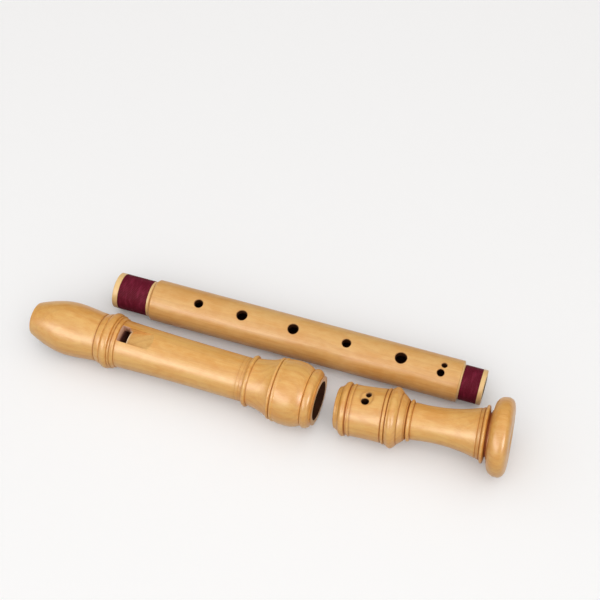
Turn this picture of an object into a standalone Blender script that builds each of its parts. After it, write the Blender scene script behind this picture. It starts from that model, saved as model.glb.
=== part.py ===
# An alto recorder in F, taken apart into its three sections and laid on the ground.
# The head joint and the foot joint lie in one row, the middle joint lies behind them.
# Each section is modelled along its own axis: +X runs from the mouth end to the foot end,
# +Z points out of the window and the finger holes, and the axis is the middle of the bore.
# Lengths are in metres.

import math

import bmesh
import bpy
from mathutils import Matrix, Vector

MM = 0.001

# Facets round every turned surface, and round a hole
FACETS = 32
HOLE_FACETS = 16
CURVE_STEPS = 5
BEAD_STEPS = 4

# Clearances
PIECE_GAP = 0.3 * MM
SOCKET_FIT = 0.2 * MM
SOCKET_END_PLAY = 0.5 * MM
CUT_OVERRUN = 2.0 * MM

# Bores, as diameters
HEAD_BORE = 17.8 * MM
MIDDLE_BORE_TOP = 17.6 * MM
MIDDLE_BORE_BOTTOM = 14.6 * MM
FOOT_BORE_TOP = 14.4 * MM
FOOT_BORE_END = 12.6 * MM
FOOT_MOUTH_FLARE = 1.6 * MM
SOCKET_MOUTH_CHAMFER = 0.5 * MM

# Middle joint
TUBE_LENGTH = 199.4 * MM
TUBE_DIAMETER_TOP = 26.4 * MM
TUBE_DIAMETER_BOTTOM = 26.0 * MM
TUBE_EDGE = 0.5 * MM
UPPER_TENON_LENGTH = 26.4 * MM
UPPER_TENON_STEP = 1.8 * MM
UPPER_COLLAR_WIDTH = 2.2 * MM
UPPER_SHOULDER_CHAMFER = 1.1 * MM
LOWER_TENON_LENGTH = 14.7 * MM
LOWER_TENON_STEP = 2.0 * MM
LOWER_COLLAR_WIDTH = 0.7 * MM
TIP_RING_WIDTH = 3.6 * MM
LOWER_TIP_RING_WIDTH = 2.8 * MM
TIP_CHAMFER = 0.4 * MM
LAPPING_DEPTH = 1.35 * MM

# Finger holes: distance from the upper shoulder, diameter and turn round the tube in degrees
FINGER_HOLES = {
    "first": (30.3 * MM, 5.6 * MM, 0.0),
    "second": (59.0 * MM, 6.8 * MM, 0.0),
    "third": (92.5 * MM, 6.8 * MM, 0.0),
    "fourth": (126.9 * MM, 5.6 * MM, 0.0),
    "fifth": (161.5 * MM, 7.3 * MM, 0.0),
    "sixth_small": (188.0 * MM, 3.5 * MM, -12.0),
    "sixth_large": (187.0 * MM, 4.5 * MM, 12.0),
    "thumb": (15.5 * MM, 5.8 * MM, 180.0),
}
FOOT_HOLES = {
    "seventh_small": (19.2 * MM, 3.3 * MM, -9.5),
    "seventh_large": (18.0 * MM, 4.6 * MM, 9.5),
}

# Thread lappings: a plain core with one thread wound round it
THREAD_RADIUS = 0.45 * MM
THREAD_SEAT = 0.05 * MM
THREAD_BEND = 0.95 * MM
THREAD_TAIL = 0.9 * MM
THREAD_PITCH = 1.45 * MM
LOOP_POINTS = 24
BEND_POINTS = 3
LEAST_THREAD_GAP = 0.4 * MM
THREAD_START_TURN = 200.0

# Head joint: the beak, from the tip to the bead at the window
HEAD_LENGTH = 188.0 * MM
BEAK_TIP_EDGE_WALL = 1.0 * MM
BEAK_TIP_WALL = 1.5 * MM
BEAK_TIP_ROUND = 0.6 * MM
BEAK_WIDEST_AT = 25.5 * MM
BEAK_WALL = 7.8 * MM
BEAK_TIP_SLOPE = 0.44
BEAK_END_SLOPE = -0.05
BEAK_CUT_LENGTH = 40.0 * MM
BEAK_TIP_BELOW_AXIS = 2.2 * MM
BEAK_CUT_TIP_SLOPE = -0.05
BEAK_CUT_END_SLOPE = -0.62

# Head joint: the ring group at the window, its walls measured out from the bore
WINDOW_GROUP_AT = 45.7 * MM
WINDOW_FILLET_WALL = 6.2 * MM
WINDOW_FILLET_WIDTH = 3.6 * MM
WINDOW_BEAD_WIDTH = 4.6 * MM
WINDOW_BEAD_HEIGHT = 1.4 * MM
WINDOW_BEAD_WALL = 7.2 * MM
WINDOW_STEP_WIDTH = 0.8 * MM
WINDOW_STEP_WALL = 7.7 * MM
WINDOW_COVE_WALL = 7.2 * MM
WINDOW_COVE_END_WALL = 6.5 * MM
TURNED_LINE_WIDTH = 0.7 * MM
TURNED_LINE_DEPTH = 0.45 * MM

# Head joint: windway, window and labium
WINDOW_AT = 60.0 * MM
WINDWAY_WIDTH = 11.0 * MM
WINDWAY_ARCH = 10.5 * MM
WINDWAY_ROOF_LIFT_IN = 0.0 * MM
WINDWAY_ROOF_LIFT = 0.45 * MM
WINDWAY_HEIGHT_IN = 2.0 * MM
WINDWAY_HEIGHT_OUT = 1.15 * MM
CUT_UP = 4.6 * MM
LABIUM_THICKNESS = 0.45 * MM
LABIUM_LENGTH = 20.0 * MM
LABIUM_END_ARCH = 32.0 * MM
LABIUM_UNDERCUT = 16.0 * MM
ARCH_POINTS = 7
BLOCK_CHAMFER = 0.8 * MM

# Head joint: the tube and the socket end, walls measured out from the bore or the socket
TUBE_WALL_AT_WINDOW = 6.0 * MM
HEAD_TUBE_WALL = 4.8 * MM
SCRIBED_LINE_STEP = 1.5 * MM
SOCKET_GROUP_LENGTH = 45.0 * MM
NECK_RING_WIDTH = 3.0 * MM
NECK_RING_HEIGHT = 1.8 * MM
FLARE_LENGTH = 14.2 * MM
FLARE_START_WALL = 3.0 * MM
FLARE_END_WALL = 6.9 * MM
PAIR_RING_WIDTH = 1.9 * MM
PAIR_RING_HEIGHT = 0.7 * MM
BARREL_START_WALL = 7.7 * MM
BARREL_WALL = 8.4 * MM
BARREL_END_WALL = 5.6 * MM
BARREL_TO_CREST = 5.2 * MM
BARREL_LENGTH = 16.3 * MM
END_TORUS_WIDTH = 5.0 * MM
END_TORUS_HEIGHT = 1.9 * MM
END_TORUS_END_WALL = 4.2 * MM
HEAD_LIP_WALL = 2.9 * MM
HEAD_LIP_FLARE = 0.8 * MM
HEAD_LIP_WIDTH = 0.7 * MM

# Foot joint, walls measured out from the socket until the neck, and from the bore after it
FOOT_LENGTH = 104.2 * MM
FOOT_LIP_WALL = 1.0 * MM
FOOT_LIP_WIDTH = 0.5 * MM
FOOT_COVE_WALL = 3.1 * MM
FOOT_COVE_TO = 3.3 * MM
FOOT_BEAD_WALL = 5.2 * MM
FOOT_BEAD_TO = 7.1 * MM
FOOT_BEAD_HEIGHT = 1.5 * MM
FOOT_RING_WALL = 4.2 * MM
FOOT_RING_AT = 8.7 * MM
FOOT_RING_WIDTH = 1.5 * MM
FOOT_RING_HEIGHT = 0.5 * MM
FOOT_BODY_AT = 10.9 * MM
FOOT_BODY_TO = 28.8 * MM
FOOT_BODY_WALL = 4.3 * MM
FOOT_BODY_END_WALL = 5.1 * MM
FOOT_SECOND_RING_WIDTH = 1.8 * MM
FOOT_SECOND_RING_HEIGHT = 0.6 * MM
FOOT_BULGE_AT = 32.6 * MM
FOOT_BULGE_CREST_AT = 35.0 * MM
FOOT_BULGE_START_WALL = 5.9 * MM
FOOT_BULGE_WALL = 7.2 * MM
FOOT_BULGE_SHOULDER_AT = 38.8 * MM
FOOT_BULGE_SHOULDER_WALL = 4.1 * MM
FOOT_NECK_AT = 43.3 * MM
FOOT_NECK_WALL = 4.7 * MM
FOOT_FLANGE_WIDTH = 1.7 * MM
FOOT_FLANGE_HEIGHT = 1.3 * MM
FOOT_BELL_AT = 46.8 * MM
FOOT_BELL_START_WALL = 4.3 * MM
FOOT_WAIST_AT = 56.5 * MM
FOOT_WAIST_WALL = 4.0 * MM
FOOT_BELL_END_WALL = 9.2 * MM
FOOT_BELL_END_SLOPE = 0.33
FOOT_BELL_RING_WIDTH = 2.2 * MM
FOOT_BELL_RING_HEIGHT = 1.7 * MM
FOOT_END_GROUP_LENGTH = 17.0 * MM
FOOT_END_GROOVE_WALL = 7.2 * MM
FOOT_END_GROOVE_WIDTH = 0.7 * MM
FOOT_END_FILLET_WALL = 8.3 * MM
FOOT_END_BEAD_WIDTH = 12.0 * MM
FOOT_END_BEAD_WALL = 17.3 * MM
FOOT_END_FACE_WALL = 9.6 * MM

# How the sections lie, turns in degrees
FRONT_GAP = 10.8 * MM
MIDDLE_SETBACK = 38.9 * MM
ROW_CLEARANCE = 8.8 * MM
FOOT_ROW_SHIFT = 2.5 * MM
HEAD_ROLL = 6.5
MIDDLE_ROLL = 12.5
FOOT_ROLL = -2.5
HEAD_YAW = -1.5
MIDDLE_YAW = 0.2
FOOT_YAW = 3.5

# Colours seen on the instrument
FRUITWOOD = (0.74, 0.42, 0.15)
PALE_FRUITWOOD = (0.78, 0.47, 0.20)
CEDAR = (0.45, 0.19, 0.11)
BURGUNDY = (0.15, 0.012, 0.035)


def cubic(start, end, slope_in, slope_out, steps):
    # points after start on the cubic that leaves start and reaches end at the given slopes
    length = end[0] - start[0]
    points = []
    for step in range(1, steps + 1):
        t = step / steps
        blend = t * t * (3 - 2 * t)
        leave = t * (1 - t) ** 2 * slope_in * length
        reach = t * t * (1 - t) * slope_out * length
        radius = start[1] + (end[1] - start[1]) * blend + leave - reach
        points.append((start[0] + length * t, radius))
    return points


class Turning:
    # A half section as a turner would cut it, from left to right: distance along, radius

    def __init__(self, along, radius):
        self.points = [(along, radius)]

    def cut(self, along, radius):
        self.points.append((along, radius))

    def curve(self, along, radius, slope_in, slope_out, steps=CURVE_STEPS):
        start = self.points[-1]
        self.points += cubic(start, (along, radius), slope_in, slope_out, steps)

    def bead(self, width, height, radius_after=None, steps=BEAD_STEPS):
        # a half-round ring that stands proud of the surface
        along, radius = self.points[-1]
        after = radius if radius_after is None else radius_after
        for step in range(1, steps + 1):
            turn = math.pi * step / steps
            share = (1 - math.cos(turn)) / 2
            base = radius + (after - radius) * share
            self.cut(along + width * share, base + height * math.sin(turn))

    def line(self, radius_after=None):
        # a fine V-shaped line, as a pointed tool leaves it
        along, radius = self.points[-1]
        after = radius if radius_after is None else radius_after
        self.cut(along + TURNED_LINE_WIDTH / 2, min(radius, after) - TURNED_LINE_DEPTH)
        self.cut(along + TURNED_LINE_WIDTH, after)

    def at(self):
        return self.points[-1][0]


def clear_scene():
    for obj in list(bpy.data.objects):
        bpy.data.objects.remove(obj, do_unlink=True)


def material(name, colour, roughness):
    made = bpy.data.materials.new(name)
    made.use_nodes = True
    shader = made.node_tree.nodes["Principled BSDF"]
    shader.inputs["Base Color"].default_value = (*colour, 1.0)
    shader.inputs["Roughness"].default_value = roughness
    shader.inputs["Metallic"].default_value = 0.0
    return made


def add_object(name, mesh, parent):
    obj = bpy.data.objects.new(name, mesh)
    bpy.context.scene.collection.objects.link(obj)
    obj.parent = parent
    return obj


def finish_mesh(name, bm):
    bmesh.ops.recalc_face_normals(bm, faces=bm.faces)
    mesh = bpy.data.meshes.new(name)
    bm.to_mesh(mesh)
    bm.free()
    mesh.shade_smooth()
    mesh.set_sharp_from_angle(angle=math.radians(35))
    return mesh


def turned_piece(name, loop, parent, roll):
    # spins a closed half section; the facets stand so that a flat one faces the ground
    start = math.radians(roll) + math.pi / FACETS
    direction = Vector((0.0, math.sin(start), math.cos(start)))
    bm = bmesh.new()
    verts = [bm.verts.new(Vector((along, 0, 0)) + radius * direction) for along, radius in loop]
    edges = [bm.edges.new((verts[i - 1], verts[i])) for i in range(len(verts))]
    bmesh.ops.spin(
        bm,
        geom=verts + edges,
        cent=(0, 0, 0),
        axis=(1, 0, 0),
        angle=2 * math.pi,
        steps=FACETS,
        use_merge=True,
    )
    bmesh.ops.remove_doubles(bm, verts=bm.verts, dist=0.001 * MM)
    return add_object(name, finish_mesh(name, bm), parent)


def lofted_piece(name, sections, parent):
    # skins closed sections that all have the same number of points, and caps both ends
    bm = bmesh.new()
    rings = [[bm.verts.new(point) for point in section] for section in sections]
    for left, right in zip(rings, rings[1:]):
        for i in range(len(left)):
            bm.faces.new((left[i - 1], left[i], right[i], right[i - 1]))
    bm.faces.new(rings[0])
    bm.faces.new(rings[-1])
    return add_object(name, finish_mesh(name, bm), parent)


def hole_cutter(name, along, diameter, turn, reach, parent):
    # a round drill that starts on the axis and comes out of the wall
    spin = Matrix.Rotation(math.radians(turn), 4, "X")
    place = Matrix.Translation((along, 0, 0)) @ spin @ Matrix.Translation((0, 0, reach / 2))
    bm = bmesh.new()
    bmesh.ops.create_cone(
        bm,
        cap_ends=True,
        segments=HOLE_FACETS,
        radius1=diameter / 2,
        radius2=diameter / 2,
        depth=reach,
        matrix=place,
    )
    return as_cutter(add_object(name, finish_mesh(name, bm), parent))


def as_cutter(obj):
    obj.hide_render = True
    obj.display_type = "WIRE"
    return obj


def boolean(body, other, operation):
    modifier = body.modifiers.new(other.name, "BOOLEAN")
    modifier.operation = operation
    modifier.solver = "EXACT"
    modifier.object = other


def arch_heights(crown, arch_radius, half_width):
    # points across an arch that is highest on the centre line
    points = []
    for i in range(ARCH_POINTS):
        y = half_width * (2 * i / (ARCH_POINTS - 1) - 1)
        drop = arch_radius - math.sqrt(arch_radius**2 - y**2)
        points.append((y, crown - drop))
    return points


def section_under_arch(along, crown, arch_radius, half_width, floor):
    across = arch_heights(crown, arch_radius, half_width)
    points = [Vector((along, y, z)) for y, z in across]
    return points + [Vector((along, half_width, floor)), Vector((along, -half_width, floor))]


def section_over_arch(along, crown, arch_radius, half_width, ceiling):
    return section_under_arch(along, crown, arch_radius, half_width, ceiling)


def beak_cutter(name, parent, half_width, depth):
    # the hollow under the beak: everything below a curve that runs back from the tip
    tip = (0.0, -BEAK_TIP_BELOW_AXIS)
    end = (BEAK_CUT_LENGTH, -depth)
    start = (-CUT_OVERRUN, tip[1] - BEAK_CUT_TIP_SLOPE * CUT_OVERRUN)
    curve = [start, tip] + cubic(tip, end, BEAK_CUT_TIP_SLOPE, BEAK_CUT_END_SLOPE, 2 * CURVE_STEPS)
    floor = -depth - CUT_OVERRUN
    outline = curve + [(BEAK_CUT_LENGTH, floor), (-CUT_OVERRUN, floor)]
    sides = [
        [Vector((x, side * half_width, z)) for x, z in outline]
        for side in (-1, 1)
    ]
    return as_cutter(lofted_piece(name, sides, parent))


def head_outline():
    bore = HEAD_BORE / 2
    socket = upper_socket_radius()
    line = bore + TUBE_WALL_AT_WINDOW
    t = Turning(0.0, bore)
    t.cut(0.0, bore + BEAK_TIP_EDGE_WALL)
    t.curve(BEAK_TIP_ROUND, bore + BEAK_TIP_WALL, 1.7, BEAK_TIP_SLOPE, 2)
    t.curve(BEAK_WIDEST_AT, bore + BEAK_WALL, BEAK_TIP_SLOPE, 0.0)
    t.curve(WINDOW_GROUP_AT, bore + WINDOW_FILLET_WALL, 0.0, BEAK_END_SLOPE, 4)
    # the ring group at the window: line, fillet, bead between two lines, stepped fillets
    t.line()
    t.curve(t.at() + WINDOW_FILLET_WIDTH, bore + WINDOW_BEAD_WALL, 0.4, 0.1, 3)
    t.line()
    t.bead(WINDOW_BEAD_WIDTH, WINDOW_BEAD_HEIGHT)
    t.line(bore + WINDOW_STEP_WALL)
    t.cut(t.at() + WINDOW_STEP_WIDTH, bore + WINDOW_STEP_WALL)
    t.line(bore + WINDOW_COVE_WALL)
    t.curve(WINDOW_AT - TURNED_LINE_WIDTH, bore + WINDOW_COVE_END_WALL, -0.9, -0.05, 2)
    t.line(line)
    # the tube tapers to the neck ring of the socket
    group = HEAD_LENGTH - SOCKET_GROUP_LENGTH
    neck = bore + HEAD_TUBE_WALL
    taper = (neck - line) / (group - t.at())
    scribed = group - 2 * (TURNED_LINE_WIDTH + SCRIBED_LINE_STEP)
    t.curve(scribed, neck, 3.0 * taper, 0.0)
    t.line()
    t.cut(t.at() + SCRIBED_LINE_STEP, neck)
    t.line()
    t.cut(group, neck)
    t.bead(NECK_RING_WIDTH, NECK_RING_HEIGHT, socket + FLARE_START_WALL)
    flare = (FLARE_END_WALL - FLARE_START_WALL) / FLARE_LENGTH
    t.curve(t.at() + FLARE_LENGTH, socket + FLARE_END_WALL, 0.35 * flare, 2.1 * flare)
    t.bead(PAIR_RING_WIDTH, PAIR_RING_HEIGHT)
    t.line(socket + BARREL_START_WALL)
    t.bead(PAIR_RING_WIDTH, PAIR_RING_HEIGHT / 2)
    # barrel, end torus, cove and flared lip
    barrel = t.at()
    t.curve(barrel + BARREL_TO_CREST, socket + BARREL_WALL, 0.25, 0.0, 3)
    t.curve(barrel + BARREL_LENGTH, socket + BARREL_END_WALL, 0.0, -0.75, 4)
    t.cut(t.at() + TURNED_LINE_WIDTH / 2, socket + BARREL_END_WALL - TURNED_LINE_DEPTH)
    t.bead(END_TORUS_WIDTH, END_TORUS_HEIGHT, socket + END_TORUS_END_WALL, 5)
    lip = HEAD_LENGTH - HEAD_LIP_WIDTH
    t.curve(lip, socket + HEAD_LIP_WALL, -1.2, 0.0, 2)
    t.cut(HEAD_LENGTH, socket + HEAD_LIP_WALL + HEAD_LIP_FLARE)
    return t.points


def socket_and_bore(length, socket, depth, bore):
    # the inside of the head joint, from its open end back to the beak
    bottom = length - depth
    return [
        (length, socket + SOCKET_MOUTH_CHAMFER),
        (length - SOCKET_MOUTH_CHAMFER, socket),
        (bottom, socket),
        (bottom, bore),
    ]


def upper_lapping_radius():
    return TUBE_DIAMETER_TOP / 2 - UPPER_TENON_STEP


def lower_lapping_radius():
    return TUBE_DIAMETER_BOTTOM / 2 - LOWER_TENON_STEP


def upper_socket_radius():
    return upper_lapping_radius() + SOCKET_FIT


def lower_socket_radius():
    return lower_lapping_radius() + SOCKET_FIT


def windway_roof(lift):
    return HEAD_BORE / 2 + lift


def make_head(frame, finish):
    bore = HEAD_BORE / 2
    half = WINDWAY_WIDTH / 2
    outline = head_outline()
    depth = UPPER_TENON_LENGTH + SOCKET_END_PLAY
    inside = socket_and_bore(HEAD_LENGTH, upper_socket_radius(), depth, bore)
    head = turned_piece("head_joint", outline + inside, frame, HEAD_ROLL)
    head.data.materials.append(finish)

    outside = bore + WINDOW_BEAD_WALL + 2 * CUT_OVERRUN
    floor = bore * 0.45
    roof_in = windway_roof(WINDWAY_ROOF_LIFT_IN)
    roof = windway_roof(WINDWAY_ROOF_LIFT)
    lip_at = WINDOW_AT + CUT_UP

    beak = beak_cutter("beak_cutter", frame, 2 * bore, bore + BEAK_WALL)
    windway = lofted_piece(
        "windway_cutter",
        [
            section_under_arch(-CUT_OVERRUN, roof_in, WINDWAY_ARCH, half, floor),
            section_under_arch(WINDOW_AT + CUT_OVERRUN, roof, WINDWAY_ARCH, half, floor),
        ],
        frame,
    )
    window = lofted_piece(
        "window_cutter",
        [
            section_under_arch(WINDOW_AT, outside, 8 * WINDWAY_ARCH, half, floor),
            section_under_arch(lip_at, outside, 8 * WINDWAY_ARCH, half, floor),
        ],
        frame,
    )
    under_lip = roof - LABIUM_THICKNESS
    side_of_bore = math.sqrt(bore**2 - half**2)
    undercut = lofted_piece(
        "undercut_cutter",
        [
            section_under_arch(lip_at - CUT_UP / 2, under_lip, WINDWAY_ARCH, half, floor),
            section_under_arch(lip_at, under_lip, WINDWAY_ARCH, half, floor),
            section_under_arch(lip_at + LABIUM_UNDERCUT, side_of_bore, WINDWAY_ARCH, half, floor),
        ],
        frame,
    )
    surface = bore + TUBE_WALL_AT_WINDOW
    labium = lofted_piece(
        "labium_cutter",
        [
            section_over_arch(lip_at - CUT_UP / 2, roof, WINDWAY_ARCH, half, outside),
            section_over_arch(lip_at, roof, WINDWAY_ARCH, half, outside),
            section_over_arch(lip_at + LABIUM_LENGTH, surface, LABIUM_END_ARCH, half, outside),
        ],
        frame,
    )
    for cutter in (beak, windway, window, undercut, labium):
        boolean(head, as_cutter(cutter), "DIFFERENCE")
    return head


def make_block(frame, finish):
    # the cedar block fills the bore up to the window; its top is the floor of the windway
    radius = HEAD_BORE / 2 - PIECE_GAP
    loop = Turning(0.0, radius)
    loop.cut(WINDOW_AT, radius)
    solid = loop.points + [(WINDOW_AT, 0.0), (0.0, 0.0)]
    block = turned_piece("block", solid, frame, HEAD_ROLL)
    block.data.materials.append(finish)

    floor_in = windway_roof(WINDWAY_ROOF_LIFT_IN) - WINDWAY_HEIGHT_IN
    floor_out = windway_roof(WINDWAY_ROOF_LIFT) - WINDWAY_HEIGHT_OUT
    above = HEAD_BORE
    chamfer_at = WINDOW_AT - BLOCK_CHAMFER
    top = lofted_piece(
        "block_top_cutter",
        [
            section_over_arch(-CUT_OVERRUN, floor_in, WINDWAY_ARCH, radius, above),
            section_over_arch(chamfer_at, floor_out, WINDWAY_ARCH, radius, above),
            section_over_arch(
                chamfer_at + 2 * BLOCK_CHAMFER,
                floor_out - 2 * BLOCK_CHAMFER,
                WINDWAY_ARCH,
                radius,
                above,
            ),
        ],
        frame,
    )
    bore = HEAD_BORE / 2
    beak = beak_cutter("block_beak_cutter", frame, 2 * bore, bore + BEAK_WALL)
    boolean(block, as_cutter(top), "DIFFERENCE")
    boolean(block, beak, "DIFFERENCE")
    return block


def lapping_bounds():
    # along the middle joint: from and to of the upper lapping, from and to of the lower one
    lower_shoulder = UPPER_TENON_LENGTH + TUBE_LENGTH
    end = lower_shoulder + LOWER_TENON_LENGTH
    upper = (
        TIP_RING_WIDTH,
        UPPER_TENON_LENGTH - UPPER_SHOULDER_CHAMFER - UPPER_COLLAR_WIDTH,
    )
    lower = (lower_shoulder + LOWER_COLLAR_WIDTH, end - LOWER_TIP_RING_WIDTH)
    return upper, lower


def make_middle(frame, finish):
    top = TUBE_DIAMETER_TOP / 2
    bottom = TUBE_DIAMETER_BOTTOM / 2
    upper = upper_lapping_radius()
    lower = lower_lapping_radius()
    upper_bounds, lower_bounds = lapping_bounds()
    shoulder = UPPER_TENON_LENGTH
    lower_shoulder = shoulder + TUBE_LENGTH
    end = lower_shoulder + LOWER_TENON_LENGTH

    t = Turning(0.0, MIDDLE_BORE_TOP / 2)
    t.cut(0.0, upper - TIP_CHAMFER)
    t.cut(TIP_CHAMFER, upper)
    t.cut(upper_bounds[0], upper)
    t.cut(upper_bounds[0], upper - LAPPING_DEPTH)
    t.cut(upper_bounds[1], upper - LAPPING_DEPTH)
    t.cut(upper_bounds[1], upper)
    t.cut(shoulder - UPPER_SHOULDER_CHAMFER - TURNED_LINE_WIDTH, upper)
    t.line()
    t.cut(shoulder - UPPER_SHOULDER_CHAMFER, top - UPPER_SHOULDER_CHAMFER)
    t.cut(shoulder, top)
    t.cut(lower_shoulder - TUBE_EDGE, bottom)
    t.cut(lower_shoulder, bottom - TUBE_EDGE)
    t.cut(lower_shoulder, lower)
    t.cut(lower_bounds[0], lower)
    t.cut(lower_bounds[0], lower - LAPPING_DEPTH)
    t.cut(lower_bounds[1], lower - LAPPING_DEPTH)
    t.cut(lower_bounds[1], lower)
    t.cut(end - TIP_CHAMFER, lower)
    t.cut(end, lower - TIP_CHAMFER)
    t.cut(end, MIDDLE_BORE_BOTTOM / 2)
    middle = turned_piece("middle_joint", t.points, frame, MIDDLE_ROLL)
    middle.data.materials.append(finish)
    for name, (distance, diameter, turn) in FINGER_HOLES.items():
        along = shoulder + distance
        reach = top + CUT_OVERRUN
        cutter = hole_cutter(name + "_hole_cutter", along, diameter, turn, reach, frame)
        boolean(middle, cutter, "DIFFERENCE")
    return middle


def thread_path(start, end, radius, loops):
    # one thread: a straight tail along the tenon, a bend, the loops, a bend and a tail
    reach = THREAD_TAIL + THREAD_BEND
    first = start + reach
    pitch = (end - start - 2 * reach) / loops
    flat = []
    flat.append((start, -THREAD_BEND))
    flat.append((start + THREAD_TAIL, -THREAD_BEND))
    for i in range(1, BEND_POINTS + 1):
        turn = math.pi / 2 * i / BEND_POINTS
        along = start + THREAD_TAIL + THREAD_BEND * math.sin(turn)
        flat.append((along, -THREAD_BEND * math.cos(turn)))
    total = loops * LOOP_POINTS
    length = 2 * math.pi * radius * loops
    for i in range(1, total + 1):
        flat.append((first + pitch * loops * i / total, length * i / total))
    mirrored = [(start + end - along, length - arc) for along, arc in reversed(flat[: 2 + BEND_POINTS])]
    flat += mirrored[1:] if mirrored[0][1] <= flat[-1][1] else mirrored
    first_turn = math.radians(THREAD_START_TURN)
    turned = [(along, first_turn + arc / radius) for along, arc in flat]
    return [Vector((x, radius * math.sin(turn), radius * math.cos(turn))) for x, turn in turned]


def least_gap(points):
    # the smallest distance between stretches of thread more than half a loop apart
    apart = LOOP_POINTS // 2
    least = min(
        (points[i] - points[j]).length
        for i in range(len(points))
        for j in range(i + apart, len(points))
    )
    return least - 2 * THREAD_RADIUS


def loops_between(start, end):
    # as many turns as the pitch asks for, and no more than leave the least gap
    room = end - start - 2 * (THREAD_TAIL + THREAD_BEND)
    return min(round(room / THREAD_PITCH), int(room / (2 * THREAD_RADIUS + LEAST_THREAD_GAP)))


def make_lapping(name, bounds, outer, frame, finish):
    start = bounds[0] + PIECE_GAP
    end = bounds[1] - PIECE_GAP
    loops = loops_between(start, end)
    inner = outer - LAPPING_DEPTH + PIECE_GAP
    thread_centre = outer - THREAD_RADIUS
    core = thread_centre + THREAD_SEAT
    loop = [(start, inner), (start, core), (end, core), (end, inner)]
    lapping = turned_piece(name, loop, frame, MIDDLE_ROLL)
    lapping.data.materials.append(finish)

    path = thread_path(start, end, thread_centre, loops)
    gap = least_gap(path)
    print(f"{name}: {loops} loops, least gap between turns {gap / MM:.2f} mm")
    if gap < LEAST_THREAD_GAP:
        print(f"{name}: the turns lie closer than {LEAST_THREAD_GAP / MM:.1f} mm")
    curve = bpy.data.curves.new(name + "_thread", "CURVE")
    curve.dimensions = "3D"
    curve.bevel_depth = THREAD_RADIUS
    curve.bevel_resolution = 1
    curve.use_fill_caps = True
    spline = curve.splines.new("POLY")
    spline.points.add(len(path) - 1)
    for point, place in zip(spline.points, path):
        point.co = (*place, 1.0)
    guide = add_object(name + "_thread_guide", curve, frame)
    thread = bpy.data.meshes.new_from_object(guide)
    bpy.data.objects.remove(guide, do_unlink=True)
    helper = as_cutter(add_object(name + "_thread", thread, frame))
    boolean(lapping, helper, "UNION")
    return lapping


def foot_outline():
    socket = lower_socket_radius()
    t = Turning(0.0, socket + SOCKET_MOUTH_CHAMFER)
    t.cut(0.0, socket + FOOT_LIP_WALL)
    t.cut(FOOT_LIP_WIDTH, socket + FOOT_LIP_WALL + FOOT_LIP_WIDTH)
    t.curve(FOOT_COVE_TO, socket + FOOT_COVE_WALL, 0.2, 0.6, 3)
    base = FOOT_BEAD_WALL - FOOT_BEAD_HEIGHT
    t.bead(FOOT_BEAD_TO - FOOT_COVE_TO, FOOT_BEAD_HEIGHT, socket + 2 * base - FOOT_COVE_WALL, 5)
    t.line(socket + FOOT_RING_WALL)
    t.cut(FOOT_RING_AT, socket + FOOT_RING_WALL)
    t.bead(FOOT_RING_WIDTH, FOOT_RING_HEIGHT)
    t.cut(FOOT_BODY_AT, socket + FOOT_BODY_WALL)
    t.curve(FOOT_BODY_TO, socket + FOOT_BODY_END_WALL, 0.02, 0.10, 3)
    t.line()
    t.bead(FOOT_SECOND_RING_WIDTH, FOOT_SECOND_RING_HEIGHT)
    t.line(socket + FOOT_BULGE_START_WALL)
    t.cut(FOOT_BULGE_AT, socket + FOOT_BULGE_START_WALL)
    t.curve(FOOT_BULGE_CREST_AT, socket + FOOT_BULGE_WALL, 1.2, 0.0, 3)
    t.curve(FOOT_BULGE_SHOULDER_AT, socket + FOOT_BULGE_SHOULDER_WALL, 0.0, -1.3, 4)
    return t


def foot_bore_at(along):
    depth = LOWER_TENON_LENGTH + SOCKET_END_PLAY
    share = (along - depth) / (FOOT_LENGTH - depth)
    return (FOOT_BORE_TOP + (FOOT_BORE_END - FOOT_BORE_TOP) * share) / 2


def bell_outline(t):
    # from the neck to the open end, walls measured out from the bore
    neck = foot_bore_at(FOOT_NECK_AT)
    t.line()
    t.curve(FOOT_NECK_AT, neck + FOOT_NECK_WALL, -0.7, -1.1, 3)
    t.line()
    t.bead(FOOT_FLANGE_WIDTH, FOOT_FLANGE_HEIGHT, foot_bore_at(FOOT_BELL_AT) + FOOT_BELL_START_WALL)
    t.line()
    waist = foot_bore_at(FOOT_WAIST_AT) + FOOT_WAIST_WALL
    t.curve(FOOT_WAIST_AT, waist, -0.08, 0.0, 2)
    group = FOOT_LENGTH - FOOT_END_GROUP_LENGTH
    scribed = group - TURNED_LINE_WIDTH - SCRIBED_LINE_STEP
    bell_end = foot_bore_at(group) + FOOT_BELL_END_WALL
    bell_line = bell_end - FOOT_BELL_END_SLOPE * (group - scribed)
    t.curve(scribed, bell_line, 0.0, FOOT_BELL_END_SLOPE, 6)
    t.line()
    t.cut(group, bell_end)
    t.line()
    t.bead(FOOT_BELL_RING_WIDTH, FOOT_BELL_RING_HEIGHT)
    mouth = FOOT_BORE_END / 2
    groove = FOOT_LENGTH - FOOT_END_BEAD_WIDTH
    t.cut(t.at() + TURNED_LINE_WIDTH / 2, mouth + FOOT_END_GROOVE_WALL)
    t.cut(t.at() + FOOT_END_GROOVE_WIDTH, mouth + FOOT_END_GROOVE_WALL)
    t.cut(t.at(), mouth + FOOT_END_FILLET_WALL)
    t.cut(groove, mouth + FOOT_END_FILLET_WALL)
    swell = FOOT_END_BEAD_WALL - (FOOT_END_FILLET_WALL + FOOT_END_FACE_WALL) / 2
    t.bead(FOOT_END_BEAD_WIDTH, swell, mouth + FOOT_END_FACE_WALL, 8)
    t.cut(FOOT_LENGTH, mouth + FOOT_MOUTH_FLARE)
    return t.points


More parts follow.
